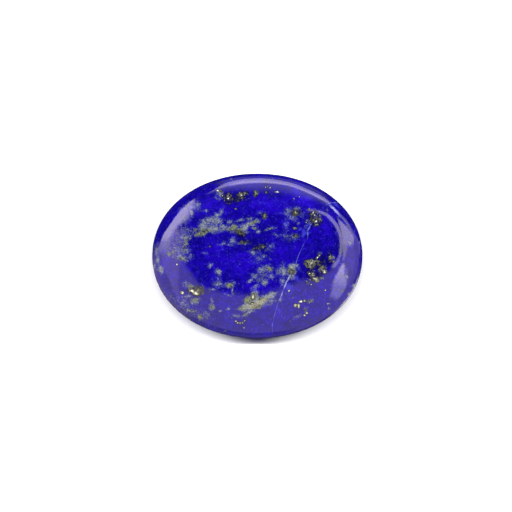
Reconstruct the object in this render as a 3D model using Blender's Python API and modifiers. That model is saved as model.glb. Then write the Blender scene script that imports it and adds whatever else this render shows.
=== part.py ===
"""A polished oval cabochon of lapis lazuli, lying on its flat back.

Units are metres. The origin is the middle of the flat back. +X runs along the
long axis of the oval, +Y along its short axis, and +Z up through the dome.
The stone is first turned round, as wide as its short axis, and then drawn out
along X to its oval.
"""

import math

import bpy

# Driving dimensions
LENGTH = 0.0180
WIDTH = 0.0141
THICKNESS = 0.0048
DOME_RISE = 0.0024
GIRDLE_HEIGHT = 0.0006
BACK_ROUNDING = 0.0011

# Power of the oval's outline: 2 is a plain ellipse, and more is fuller at the diagonals
OUTLINE_POWER = 2.06
# Power of the dome's height: 1/2 is an ellipsoid, and less has a flatter crown and a rounder shoulder
CROWN_POWER = 1 / 3

# Fineness of the facets
STEPS_ROUND = 96
DOME_RINGS = 18
UNDERSIDE_RINGS = 7
RING_CROWDING = 1.5  # above 1, the dome's rings crowd towards the shoulder, where it curves most
WELD_DISTANCE = 0.00001

# Finish
ULTRAMARINE = (0.007, 0.0, 0.45, 1.0)  # linear
POLISH_ROUGHNESS = 0.12
STONE_IOR = 1.5

STONE_NAME = "lapis_cabochon"
COLLECTION_NAME = "lapis_lazuli_cabochon"


def remove_everything():
    """Empties the scene of its objects."""
    for scene_object in list(bpy.data.objects):
        bpy.data.objects.remove(scene_object, do_unlink=True)


def dome_height(share):
    """Height over the girdle at a share of the radius: the rise times (1 - share squared) to the crown power."""
    return DOME_RISE * max(0.0, 1.0 - share**2) ** CROWN_POWER


def side_profile():
    """The right half of the stone's section as (x, z) points, from the crown down the outside to the back.

    The dome falls to the top of the upright girdle, and below it a quarter of an ellipse rounds under to
    the flat back.
    """
    radius = WIDTH / 2
    girdle_top = THICKNESS - DOME_RISE
    girdle_foot = girdle_top - GIRDLE_HEIGHT
    points = []
    for ring in range(DOME_RINGS):
        turned = 1.0 - (1.0 - ring / DOME_RINGS) ** RING_CROWDING
        share = math.sin(turned * math.pi / 2)
        points.append((radius * share, girdle_top + dome_height(share)))
    points.append((radius, girdle_top))
    for ring in range(UNDERSIDE_RINGS + 1):
        turned = ring / UNDERSIDE_RINGS * math.pi / 2
        inset = BACK_ROUNDING * (1.0 - math.cos(turned))
        points.append((radius - inset, girdle_foot * (1.0 - math.sin(turned))))
    points.append((0.0, 0.0))
    return points


def turned_round(points):
    """Turns the section about Z with a Screw modifier and returns the closed mesh that it makes."""
    section = bpy.data.meshes.new("section")
    edges = [(start, start + 1) for start in range(len(points) - 1)]
    section.from_pydata([(x, 0.0, z) for x, z in points], edges, [])
    turning = bpy.data.objects.new("turning", section)
    bpy.context.scene.collection.objects.link(turning)

    screw = turning.modifiers.new("turn", "SCREW")
    screw.axis = "Z"
    screw.angle = 2 * math.pi
    screw.steps = STEPS_ROUND
    screw.render_steps = STEPS_ROUND
    screw.use_merge_vertices = True
    screw.merge_threshold = WELD_DISTANCE

    view_layer_state = bpy.context.evaluated_depsgraph_get()
    mesh = bpy.data.meshes.new_from_object(turning.evaluated_get(view_layer_state))
    bpy.data.objects.remove(turning)
    bpy.data.meshes.remove(section)
    return mesh


def draw_out_to_oval(mesh):
    """Moves each vertex so that a round of the stone becomes |x/a|^p + |y/b|^p = 1, its height unchanged."""
    for vertex in mesh.vertices:
        angle = math.atan2(vertex.co.y, vertex.co.x)
        powers = abs(math.cos(angle)) ** OUTLINE_POWER + abs(math.sin(angle)) ** OUTLINE_POWER
        fullness = powers ** (-1 / OUTLINE_POWER)
        vertex.co.x *= fullness * LENGTH / WIDTH
        vertex.co.y *= fullness


def polished_lapis():
    """The stone's material: deep ultramarine with a glassy polish."""
    material = bpy.data.materials.new("polished_lapis_lazuli")
    material.use_nodes = True
    shader = material.node_tree.nodes["Principled BSDF"]
    shader.inputs["Base Color"].default_value = ULTRAMARINE
    shader.inputs["Roughness"].default_value = POLISH_ROUGHNESS
    shader.inputs["IOR"].default_value = STONE_IOR
    return material


def main():
    """Makes the one stone, in its own collection."""
    remove_everything()
    collection = bpy.data.collections.new(COLLECTION_NAME)
    bpy.context.scene.collection.children.link(collection)

    mesh = turned_round(side_profile())
    mesh.name = STONE_NAME
    draw_out_to_oval(mesh)
    mesh.shade_smooth()
    mesh.materials.append(polished_lapis())
    collection.objects.link(bpy.data.objects.new(STONE_NAME, mesh))


main()
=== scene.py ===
"""A polished oval cabochon of lapis lazuli, dressed and lit for a product picture.

The stone lies on its flat back with its dome up, and the camera looks straight down on it. Its surface is
one closed mesh, worked out with numpy from the sizes of the CAD solid that it stands for. The clouds of
calcite, the pyrite and the healed crack are fields over that surface, stored as attributes, and the
material breaks them up into grains. A tent of light around the stone is what its polish mirrors.
"""

from __future__ import annotations

import logging
from dataclasses import dataclass
from enum import Enum
from itertools import product

import bpy
import numpy as np
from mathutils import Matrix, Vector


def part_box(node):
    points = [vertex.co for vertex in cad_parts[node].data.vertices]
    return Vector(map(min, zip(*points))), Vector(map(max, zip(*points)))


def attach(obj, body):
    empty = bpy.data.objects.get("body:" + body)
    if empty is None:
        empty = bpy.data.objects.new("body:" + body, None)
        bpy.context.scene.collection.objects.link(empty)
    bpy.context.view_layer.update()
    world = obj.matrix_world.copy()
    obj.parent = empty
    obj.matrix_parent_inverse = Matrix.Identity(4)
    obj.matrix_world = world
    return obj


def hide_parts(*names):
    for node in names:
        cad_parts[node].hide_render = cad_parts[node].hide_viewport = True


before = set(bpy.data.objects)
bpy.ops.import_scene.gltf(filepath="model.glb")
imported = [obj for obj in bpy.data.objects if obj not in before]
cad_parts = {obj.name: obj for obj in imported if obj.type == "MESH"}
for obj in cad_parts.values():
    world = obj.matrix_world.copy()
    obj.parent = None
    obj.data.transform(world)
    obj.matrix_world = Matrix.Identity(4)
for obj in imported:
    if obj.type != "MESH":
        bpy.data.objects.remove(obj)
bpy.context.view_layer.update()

MM = 0.001
CAD_NODE = "lapis_cabochon"
BODY = "root"

log = logging.getLogger("cabochon")


class Mineral(Enum):
    """What a marking in the stone is made of. The value names the mesh attribute that holds its field."""

    CALCITE = "calcite"
    STAIN = "stain"
    PYRITE = "pyrite"
    PALE_BLUE = "pale_blue"
    DEEP_BLUE = "deep_blue"
    BRIGHT_BLUE = "bright_blue"


@dataclass(frozen=True)
class Patch:
    """An ellipse of one mineral on the dome, in millimetres from the middle of the stone.

    Attributes:
        x: Place along the long axis.
        y: Place along the short axis.
        long: Semi-axis of the ellipse along its own length.
        short: Semi-axis across it.
        turn: Angle from +X to the ellipse's length, in degrees.
        strength: Field at the middle of the ellipse; it falls to zero at the edge.
    """

    x: float
    y: float
    long: float
    short: float
    turn: float = 0.0
    strength: float = 1.0


CALCITE_CLOUDS: tuple[Patch, ...] = (
    # The three-cornered cloud at the upper left
    Patch(-3.15, 3.82, 0.36, 0.17, 65),
    Patch(-3.42, 3.45, 0.30, 0.24, 0),
    Patch(-3.45, 3.00, 0.60, 0.44),
    Patch(-4.20, 2.95, 0.55, 0.42),
    Patch(-4.60, 2.50, 0.34, 0.50),
    Patch(-3.75, 2.30, 1.00, 0.42),
    Patch(-2.95, 2.45, 0.40, 0.34),
    # The strip that runs on from it to the middle
    Patch(-2.25, 2.42, 0.60, 0.28, 15),
    Patch(-2.30, 2.88, 0.36, 0.18, 0, 0.6),
    Patch(-1.45, 3.00, 0.50, 0.16, 12, 0.7),
    Patch(-1.10, 2.42, 0.45, 0.34, 0, 1.2),
    Patch(-1.05, 2.02, 0.40, 0.14, 0, 0.9),
    Patch(-1.90, 1.98, 0.40, 0.16, 0, 0.7),
    Patch(-0.62, 2.80, 0.75, 0.24, 20, 1.2),
    Patch(-0.60, 3.25, 0.40, 0.14, 10, 0.8),
    Patch(-0.42, 2.62, 0.36, 0.15, -8, 1.0),
    Patch(-0.25, 2.33, 0.32, 0.15, 0, 1.0),
    Patch(0.02, 2.98, 0.26, 0.22),
    Patch(1.05, 2.25, 0.50, 0.12, 12),
    Patch(0.10, 2.10, 0.24, 0.18),
    Patch(-2.08, 1.32, 0.24, 0.34, -20),
    Patch(-2.25, 0.90, 0.28, 0.12, 0, 0.7),
    Patch(-1.50, 1.12, 0.34, 0.12, 0, 0.8),
    Patch(-1.05, 1.15, 0.45, 0.15),
    Patch(-3.10, 1.03, 0.40, 0.12, 15, 0.5),
    Patch(-0.38, 0.24, 0.46, 0.32, 0, 0.7),
    Patch(0.30, -0.20, 0.46, 0.28, 0, 0.35),
    # Faint ones along the left shoulder
    Patch(-5.35, 4.10, 0.40, 0.18, -10, 0.5),
    Patch(-5.05, 4.35, 0.28, 0.22, -30, 0.8),
    Patch(-4.40, 3.88, 0.26, 0.10, 0, 0.7),
    Patch(-3.35, 4.90, 0.36, 0.12, 0, 0.7),
    Patch(-3.15, 5.30, 0.40, 0.28, -45, 0.9),
    Patch(-6.05, 3.12, 0.34, 0.24, 0, 0.6),
    Patch(-5.60, 3.70, 0.16, 0.34, 15, 0.6),
    Patch(-6.62, 1.70, 0.40, 0.30, 0, 0.2),
    Patch(-6.15, 1.60, 0.26, 0.22, 0, 0.7),
    Patch(-5.75, 1.50, 0.20, 0.22, 0, 0.6),
    Patch(-7.30, 0.25, 0.40, 0.26, 20, 0.7),
    Patch(-6.65, 1.20, 0.50, 0.16, 0, 0.45),
    Patch(-6.15, 1.05, 0.22, 0.24, 0, 0.8),
    Patch(-6.35, 0.55, 0.30, 0.34, 0, 0.7),
    Patch(-5.95, 0.42, 0.24, 0.24, 0, 0.8),
    Patch(-6.88, 0.50, 0.70, 0.50, 0, 0.3),
    Patch(-4.50, 0.30, 0.24, 0.12, 0, 0.6),
    Patch(-6.45, -0.14, 0.62, 0.30, 0, 0.9),
    Patch(-5.70, -0.05, 0.30, 0.20, 0, 0.5),
    Patch(-5.90, 2.10, 0.40, 0.40, 0, 0.35),
    Patch(-6.25, 1.95, 0.20, 0.34, 0, 0.45),
    Patch(-6.10, 4.05, 0.36, 0.20, 40, 0.25),
    # The pale edge on the far left
    Patch(-8.64, 0.40, 0.14, 0.50, 0, 0.6),
    Patch(-8.50, -0.42, 0.18, 0.52, 4, 1.2),
    Patch(-8.74, -1.05, 0.12, 0.60, 0, 0.9),
    Patch(-8.28, -1.14, 0.26, 0.44, 10, 1.1),
    # The lower left
    Patch(-5.85, -2.52, 0.50, 0.24, -20, 0.8),
    Patch(-6.05, -2.25, 0.16, 0.16, 0, 0.7),
    Patch(-4.78, -2.92, 0.32, 0.38, 0, 0.9),
    Patch(-5.85, -3.38, 0.50, 0.16, 0, 0.6),
    Patch(-5.35, -3.85, 0.42, 0.34),
    Patch(-6.25, -3.85, 0.44, 0.22, 0, 0.4),
    Patch(-6.10, -4.30, 1.30, 0.34, -40, 0.32),
    Patch(-5.77, -4.65, 0.50, 0.15, -15, 0.6),
    Patch(-4.87, -5.18, 0.34, 0.24, -50, 0.8),
    Patch(-4.40, -5.10, 0.50, 0.30, -25, 0.4),
    Patch(-3.90, -4.42, 0.27, 0.34),
    Patch(-3.88, -3.85, 0.16, 0.24, 0, 0.6),
    Patch(-3.10, -4.62, 0.16, 0.11, 0, 0.8),
    Patch(-2.50, -4.60, 0.20, 0.13, 0, 0.9),
    # Small ones left of the middle
    Patch(-3.92, -0.78, 0.30, 0.20, 30, 0.9),
    Patch(-3.36, -1.38, 0.26, 0.36, 0, 0.9),
    Patch(-3.40, -2.40, 0.42, 0.26, 0, 0.8),
    Patch(-3.35, -2.00, 0.20, 0.20, 0, 0.5),
    Patch(-2.45, -2.41, 0.50, 0.26, 0, 0.9),
    Patch(-2.18, -2.80, 0.10, 0.26, 0, 0.9),
    Patch(-2.45, -3.30, 0.28, 0.11, -25, 0.7),
    Patch(-2.15, -3.15, 0.10, 0.20, 0, 0.6),
    Patch(-3.80, -2.88, 0.26, 0.16, 0, 0.6),
    # The big cloud below the middle
    Patch(-0.63, -4.29, 0.90, 0.44, 15, 2.0),
    Patch(-0.55, -4.78, 0.50, 0.16, 25, 1.0),
    Patch(0.06, -3.98, 0.74, 0.48, 0, 2.1),
    Patch(-0.30, -3.35, 0.34, 0.52, 10, 1.1),
    Patch(-0.68, -3.72, 0.34, 0.36, 0, 1.2),
    Patch(0.91, -3.42, 0.82, 0.28, 12, 1.6),
    Patch(0.50, -3.78, 0.62, 0.40, 10, 1.6),
    Patch(1.50, -3.22, 0.42, 0.14, 14),
    Patch(-1.45, -4.52, 0.36, 0.14, 0, 0.9),
    Patch(-1.02, -5.06, 0.22, 0.20, 0, 0.7),
    Patch(1.90, -3.78, 0.16, 0.16, 0, 0.8),
    Patch(1.20, -3.80, 0.42, 0.22, 0, 0.7),
    Patch(0.90, -4.15, 0.60, 0.16, 15, 0.5),
    Patch(-1.85, -5.18, 0.50, 0.13, 0, 0.5),
    # The mottled clouds in the middle
    Patch(-0.63, -2.05, 0.34, 0.14, 45, 0.8),
    Patch(-0.25, -1.70, 0.36, 0.22, 0, 0.8),
    Patch(0.20, -1.45, 0.40, 0.20, 20, 0.4),
    Patch(0.48, -1.15, 0.50, 0.30, 0, 0.75),
    Patch(1.05, -1.12, 0.36, 0.32, 0, 1.0),
    Patch(0.55, -1.65, 0.50, 0.20, 0, 0.35),
    Patch(0.57, -2.18, 0.38, 0.34, 0, 0.8),
    Patch(0.05, -2.10, 0.26, 0.20, 0, 0.6),
    Patch(1.22, -1.72, 0.26, 0.24, 0, 0.7),
    Patch(-0.20, -2.65, 0.45, 0.16, 25, 0.7),
    Patch(2.20, -1.30, 0.42, 0.56, 0, 0.9),
    Patch(1.72, -1.42, 0.20, 0.34, 0, 0.6),
    Patch(2.15, -2.15, 0.30, 0.34, 0, 0.8),
    Patch(2.95, -0.93, 0.38, 0.28, 0, 2.0),
    Patch(2.88, -1.38, 0.40, 0.40, 0, 1.7),
    Patch(3.40, -0.90, 0.22, 0.30, 20, 0.8),
    Patch(2.95, -1.85, 0.30, 0.20, 40, 0.6),
    # Haloes round the pyrite at the upper right
    Patch(2.67, 3.60, 0.34, 0.46, 0, 0.55),
    Patch(3.05, 3.42, 0.40, 0.34, 0, 0.6),
    Patch(3.30, 3.90, 0.40, 0.20, 0, 0.7),
    Patch(3.65, 4.02, 0.18, 0.16, 0, 0.7),
    Patch(3.85, 3.50, 0.26, 0.14, 0, 0.4),
    Patch(2.88, 1.68, 0.50, 0.24, 0, 0.35),
    Patch(2.42, 2.52, 0.24, 0.26, 20, 0.4),
    Patch(3.52, 2.80, 0.16, 0.12, 0, 0.5),
    Patch(4.46, 2.86, 0.14, 0.30, -15, 0.6),
    Patch(4.22, 2.48, 0.10, 0.20, 0, 0.4),
    Patch(4.16, 2.90, 0.12, 0.12, 0, 0.8),
    Patch(0.20, 3.72, 0.22, 0.14, 0, 0.6),
    Patch(3.48, -5.12, 0.36, 0.10, 35, 0.6),
    # The right rim
    Patch(8.32, -2.58, 0.30, 0.16, 60),
    Patch(7.85, -3.30, 0.20, 0.11, 50, 1.1),
    Patch(7.47, -3.95, 0.20, 0.10, 40),
    Patch(7.17, -4.29, 0.22, 0.10, 40),
    Patch(7.62, -1.80, 0.18, 0.15, 0, 0.9),
    Patch(6.10, -4.12, 0.16, 0.17, 0, 0.8),
    Patch(6.14, -4.55, 0.13, 0.13, 0, 0.7),
    Patch(7.90, 1.04, 0.21, 0.17, 0, 0.4),
    Patch(8.71, 1.04, 0.09, 0.17, 0, 1.2),
    # Lone flecks
    Patch(1.20, 0.75, 0.32, 0.26, 10, 0.45),
    Patch(0.90, 0.45, 0.14, 0.16, 0, 0.5),
    Patch(1.75, 1.80, 0.26, 0.13, 0, 0.35),
    Patch(1.72, 5.46, 0.24, 0.07, -4, 3.2),
    Patch(5.35, 0.15, 0.18, 0.18, 0, 0.6),
)

STAINED_CALCITE: tuple[Patch, ...] = (
    Patch(-4.60, 2.00, 0.85, 0.28, 20, 1.3),
    Patch(-5.25, 2.25, 0.24, 0.17, 0, 0.8),
    Patch(-4.95, 1.80, 0.42, 0.17),
    Patch(-2.10, 2.36, 0.50, 0.26, 15),
    Patch(-1.55, 2.15, 0.34, 0.30, 0, 1.2),
    Patch(-1.42, 1.98, 0.40, 0.20, 0, 1.2),
    Patch(-0.22, 2.86, 0.42, 0.15, 25, 1.2),
    Patch(-0.20, 2.34, 0.20, 0.10, 0, 0.8),
    Patch(-1.10, 1.13, 0.36, 0.14, 0, 1.2),
    Patch(1.05, 2.25, 0.30, 0.08, 10, 0.8),
    Patch(-7.40, 0.15, 0.32, 0.20, 20, 0.8),
    Patch(-6.45, -0.20, 0.40, 0.16, 0, 0.6),
    Patch(-6.15, 0.90, 0.22, 0.90, -4, 0.6),
    Patch(-5.75, -2.62, 0.50, 0.22, -20, 0.9),
    Patch(-4.78, -2.92, 0.34, 0.38, 0, 1.2),
    Patch(-5.25, -3.75, 0.30, 0.24, 0, 0.7),
    Patch(-5.70, -4.65, 0.46, 0.14, -15, 0.7),
    Patch(-4.87, -5.20, 0.28, 0.20, -50, 0.8),
    Patch(-3.88, -4.38, 0.22, 0.22, 0, 0.8),
    Patch(-2.38, -2.45, 0.42, 0.24),
    Patch(-0.35, -3.50, 0.34, 0.42, 0, 1.2),
    Patch(-0.75, -3.75, 0.34, 0.34),
    Patch(-0.20, -4.22, 0.84, 0.38, 12, 1.2),
    Patch(-0.80, -3.75, 0.40, 0.40, 0, 1.0),
    Patch(-1.40, -4.46, 0.44, 0.22, 15, 0.9),
    Patch(-1.00, -4.98, 0.18, 0.26, 0, 0.35),
    Patch(0.50, -3.78, 0.66, 0.34, 12, 1.1),
    Patch(1.12, -1.12, 0.24, 0.22),
    Patch(2.90, -1.30, 0.34, 0.36, 0, 1.3),
    Patch(3.25, 3.66, 0.40, 0.30, 0, 1.2),
    Patch(3.23, 1.70, 0.24, 0.20, 0, 1.2),
    Patch(0.60, 3.42, 0.24, 0.28, 0, 1.2),
    Patch(4.47, -3.82, 0.30, 0.18, 0, 0.7),
    Patch(4.13, -4.59, 0.19, 0.26, 0, 0.7),
    Patch(5.50, -1.90, 0.26, 0.14, 20, 0.7),
    Patch(4.30, -2.24, 0.20, 0.14, 0, 0.9),
    Patch(7.47, -3.95, 0.18, 0.08, 40),
    Patch(6.31, -0.14, 0.20, 0.12, 0, 1.0),
    Patch(-2.22, 6.61, 0.13, 0.07),
    Patch(-2.71, -6.37, 0.18, 0.08, 20, 0.8),
    Patch(4.62, -0.68, 0.46, 0.34, 0, 1.5),
    Patch(5.60, -1.15, 0.42, 0.32, 0, 1.1),
    Patch(4.70, -1.55, 0.30, 0.36, 0, 1.0),
    Patch(6.20, -0.20, 0.20, 0.18),
    Patch(4.88, 3.22, 0.44, 0.48, 0, 0.7),
    Patch(-2.50, 4.85, 0.26, 0.34, 0, 0.8),
    Patch(-1.42, 5.04, 0.34, 0.22, 35, 0.8),
    Patch(-0.95, 5.28, 0.20, 0.14, 0, 0.8),
    Patch(-0.14, 5.25, 0.22, 0.28, 0, 1.0),
    Patch(0.34, 0.78, 0.24, 0.16, 0, 0.8),
)

PYRITE_GRAINS: tuple[Patch, ...] = (
    # Along the top
    Patch(-3.33, 5.60, 0.13, 0.11, 0, 0.8),
    Patch(-3.05, 5.50, 0.12, 0.10, 0, 0.8),
    Patch(-2.98, 5.13, 0.10, 0.12, 0, 0.9),
    Patch(-2.51, 4.90, 0.34, 0.42, 0, 0.55),
    Patch(-2.40, 4.80, 0.12, 0.08, 30, 0.9),
    Patch(-1.42, 5.06, 0.42, 0.28, 35, 0.5),
    Patch(-1.30, 5.10, 0.10, 0.08, 0, 0.9),
    Patch(-1.00, 5.32, 0.26, 0.14, 20, 0.8),
    Patch(-0.16, 5.28, 0.19, 0.24, 0, 0.8),
    Patch(0.77, 5.43, 0.15, 0.14, 0, 0.8),
    Patch(0.70, 5.87, 0.07, 0.07, 0, 1.0),
    Patch(0.86, 5.93, 0.07, 0.07, 0, 1.0),
    Patch(1.08, 5.81, 0.08, 0.08, 0, 1.0),
    Patch(3.31, 5.11, 0.06, 0.06, 0, 1.0),
    Patch(3.57, 5.04, 0.07, 0.07, 0, 1.1),
    Patch(3.09, 4.84, 0.07, 0.07, 0, 0.7),
    # The upper right
    Patch(0.60, 3.44, 0.19, 0.23, 0, 0.6),
    Patch(3.25, 3.66, 0.32, 0.22, 0, 0.55),
    Patch(4.78, 3.62, 0.26, 0.20, 0, 0.40),
    Patch(4.70, 3.10, 0.24, 0.26, 0, 0.50),
    Patch(5.06, 2.94, 0.34, 0.34, 0, 0.55),
    Patch(4.80, 3.06, 0.12, 0.10, 0, 1.2),
    Patch(4.98, 2.64, 0.12, 0.12, 0, 1.2),
    Patch(5.00, 2.90, 0.10, 0.10, 0, 0.9),
    Patch(5.36, 3.10, 0.14, 0.12, 0, 1.1),
    Patch(5.30, 3.46, 0.12, 0.10, 0, 0.8),
    Patch(4.42, 3.97, 0.11, 0.10, 0, 1.4),
    Patch(4.16, 2.84, 0.09, 0.09, 0, 1.2),
    Patch(3.14, 2.36, 0.14, 0.16, 0, 1.2),
    Patch(3.34, 2.38, 0.08, 0.08, 0, 1.0),
    Patch(3.23, 1.72, 0.16, 0.12, 0, 0.7),
    # Dark specks in the strip and the middle
    Patch(-1.46, 1.90, 0.32, 0.16, -20, 0.30),
    Patch(-1.12, 1.22, 0.20, 0.10, 0, 0.20),
    Patch(0.34, 0.76, 0.28, 0.15, 10, 0.28),
    Patch(-0.15, 0.62, 0.16, 0.12, 0, 0.2),
    # The cluster right of the middle
    Patch(4.38, -0.60, 0.38, 0.34, 0, 0.8),
    Patch(4.80, -0.54, 0.32, 0.32, 0, 0.65),
    Patch(4.56, -0.92, 0.38, 0.22, 0, 0.75),
    Patch(5.32, 0.06, 0.14, 0.14, 0, 0.8),
    Patch(5.06, -0.18, 0.22, 0.13, 50, 0.8),
    Patch(5.48, -1.08, 0.32, 0.24, -30, 0.85),
    Patch(5.66, -1.30, 0.28, 0.22, 0, 0.85),
    Patch(5.76, -1.46, 0.16, 0.10, -20, 2.0),
    Patch(6.18, -0.10, 0.16, 0.40, 0, 0.8),
    Patch(6.48, -0.48, 0.15, 0.10, 0, 1.0),
    Patch(4.50, -1.42, 0.24, 0.18, 0, 0.6),
    Patch(4.64, -1.66, 0.32, 0.28, 0, 0.75),
    Patch(4.98, -2.00, 0.28, 0.24, 0, 0.8),
    Patch(4.88, -1.92, 0.15, 0.12, 0, 2.2),
    Patch(5.12, -2.10, 0.16, 0.14, 0, 2.0),
    Patch(4.77, -1.50, 0.10, 0.09, 0, 1.7),
    Patch(5.36, -0.62, 0.08, 0.06, 0, 0.05),
    Patch(5.26, -1.62, 0.05, 0.05, 0, 0.05),
    Patch(4.51, -2.02, 0.11, 0.09, 0, 1.2),
    Patch(4.62, -2.44, 0.07, 0.07, 0, 1.8),
    Patch(2.90, -1.38, 0.20, 0.18, 0, 0.8),
    # The big cloud's own
    Patch(-0.38, -3.48, 0.16, 0.28, 0, 2.0),
    Patch(-0.50, -4.02, 0.24, 0.11, 10, 2.4),
    # The lower left
    Patch(-6.42, -3.12, 0.17, 0.16, 0, 1.7),
    Patch(-5.62, -2.96, 0.36, 0.22, 0, 1.3),
    Patch(-5.24, -3.20, 0.38, 0.24, -15, 1.3),
    Patch(-5.05, -2.92, 0.12, 0.10, 0, 1.1),
    Patch(-5.40, -3.05, 0.30, 0.22, 0, 0.8),
    Patch(-5.00, -2.92, 0.34, 0.30, 0, 0.5),
    # Along the bottom
    Patch(-1.85, -5.58, 0.11, 0.11, 0, 1.4),
    Patch(-1.70, -5.71, 0.10, 0.10, 0, 1.1),
    Patch(-1.46, -5.76, 0.12, 0.11, 0, 1.4),
    Patch(-1.25, -5.74, 0.08, 0.08, 0, 1.2),
    Patch(-1.07, -5.54, 0.09, 0.09, 0, 1.2),
    Patch(-1.12, -6.13, 0.08, 0.08, 0, 1.0),
    Patch(3.24, -4.22, 0.20, 0.20, 0, 2.0),
    Patch(3.52, -4.28, 0.14, 0.24, 0, 2.0),
    Patch(3.70, -3.88, 0.22, 0.12, 12, 2.0),
    Patch(4.00, -3.82, 0.16, 0.10, 12, 1.8),
    Patch(4.22, -4.88, 0.12, 0.11, 0, 2.2),
    Patch(4.02, -5.05, 0.12, 0.11, 0, 2.2),
    # Lone specks
    Patch(2.69, -2.96, 0.11, 0.10, 0, 2.0),
    Patch(5.80, -2.94, 0.09, 0.08, 0, 1.5),
    Patch(7.33, -3.02, 0.07, 0.06, 0, 1.3),
    Patch(6.03, -4.10, 0.07, 0.09, 0, 1.4),
    Patch(3.03, -3.56, 0.06, 0.06, 0, 1.2),
    Patch(-6.82, -0.74, 0.10, 0.10, 0, 2.0),
    Patch(-4.03, 0.82, 0.10, 0.10, 0, 0.9),
    Patch(-1.83, 4.02, 0.13, 0.06, 0, 1.2),
    Patch(1.70, 5.46, 0.22, 0.07, -4, 2.4),
    Patch(2.82, -5.58, 0.07, 0.07, 0, 1.0),
)

PALE_BLUE_WISPS: tuple[Patch, ...] = (
    Patch(4.30, 1.95, 0.60, 0.16, 15, 1.1),
    Patch(3.65, 2.27, 0.30, 0.14, 30, 1.2),
    Patch(2.42, 2.60, 0.34, 0.30, 20, 1.4),
    Patch(4.34, 2.60, 0.16, 0.50, -12, 1.2),
    Patch(3.90, 1.85, 0.16, 0.60, -22, 1.2),
    Patch(-3.30, 2.00, 0.50, 0.12, 5, 1.0),
    Patch(1.55, 3.55, 0.70, 0.16, 4, 0.7),
    Patch(2.75, -2.70, 0.50, 0.80, 12, 1.05),
    Patch(2.00, -3.60, 0.50, 0.40, 0, 0.8),
    Patch(3.40, -1.95, 0.50, 0.28, -20, 0.9),
    Patch(6.70, 4.30, 0.50, 0.24, -45, 1.6),
    Patch(-8.46, -0.40, 0.24, 0.70, 0, 0.9),
    Patch(-5.60, 4.10, 0.50, 0.24, -10, 0.7),
    Patch(1.80, -4.60, 0.50, 0.70, 0, 0.8),
    Patch(2.60, 4.60, 1.40, 0.16, 0, 0.5),
    Patch(0.40, 4.40, 1.40, 0.24, 0, 0.5),
)

DEEP_BLUE_CLOUDS: tuple[Patch, ...] = (
    Patch(5.70, -0.60, 0.90, 0.70, 20, 0.9),
    Patch(4.60, 3.20, 0.80, 0.70, 0, 0.6),
    Patch(3.30, 1.70, 0.70, 0.50, 0, 0.6),
    Patch(-1.70, 4.90, 1.50, 0.55, 0, 0.8),
    Patch(-1.42, 1.90, 0.60, 0.36, 0, 1.1),
    Patch(0.30, 0.80, 0.80, 0.50, 0, 0.5),
    Patch(6.90, 1.50, 0.80, 1.60, 0, 0.5),
    Patch(-6.20, 2.60, 1.00, 0.80, 0, 0.5),
    Patch(-4.90, -2.20, 0.60, 0.40, 0, 0.5),
    Patch(2.90, -1.45, 0.40, 0.36, 0, 0.7),
    Patch(-5.20, -3.10, 0.60, 0.34, 0, 0.7),
    Patch(-6.00, -5.00, 2.40, 0.60, -32, 0.8),
    Patch(7.15, 0.60, 0.60, 1.00, 0, 0.9),
    Patch(-5.20, 1.60, 1.30, 0.90, 0, 0.4),
    Patch(-0.40, 1.30, 1.60, 0.50, 0, 0.5),
    Patch(-3.90, -3.20, 1.40, 0.40, 0, 0.4),
)

BRIGHT_BLUE_CLOUDS: tuple[Patch, ...] = (
    Patch(-1.60, -0.60, 1.90, 1.20, 0, 0.9),
    Patch(3.60, 4.90, 2.00, 0.70, -15, 1.0),
    Patch(2.70, 3.00, 0.90, 1.20, 0, 0.6),
    Patch(0.90, 4.40, 2.20, 0.90, 0, 0.9),
    Patch(-3.60, 0.60, 1.20, 1.20, 0, 0.5),
    Patch(-4.20, 4.20, 1.60, 0.60, 20, 0.6),
    Patch(5.90, 2.60, 0.90, 1.20, 20, 0.5),
    Patch(0.30, -2.70, 2.00, 0.50, 0, 0.5),
    Patch(2.60, 0.50, 1.20, 1.20, 0, 0.4),
)


@dataclass(frozen=True)
class LatticeNoise:
    """Smooth seeded noise in space.

    Attributes:
        seed: Seed of the random numbers on the lattice.
        period: Number of lattice points after which the noise repeats.
    """

    seed: int
    period: int = 48

    def at(self, points: np.ndarray, size: float) -> np.ndarray:
        """Noise from -1 to 1 at each point.

        Each point lies in a cube of the given size with a random number at each corner. The eight numbers
        are blended by 3t^2 - 2t^3 along each axis, where t is the point's share of the way across.

        Args:
            points: Places, one row each.
            size: Edge of the lattice's cubes.

        Returns:
            One value for each point.
        """
        lattice = np.random.default_rng(self.seed).uniform(-1.0, 1.0, (self.period,) * 3)
        scaled = points / size
        cube = np.floor(scaled).astype(int)
        across = scaled - cube
        across = across**2 * (3.0 - 2.0 * across)
        total = np.zeros(len(points))
        for corner in product((0, 1), repeat=3):
            weight = np.prod(np.where(corner, across, 1.0 - across), axis=1)
            i, j, k = ((cube + corner) % self.period).T
            total += weight * lattice[i, j, k]
        return total


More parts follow.
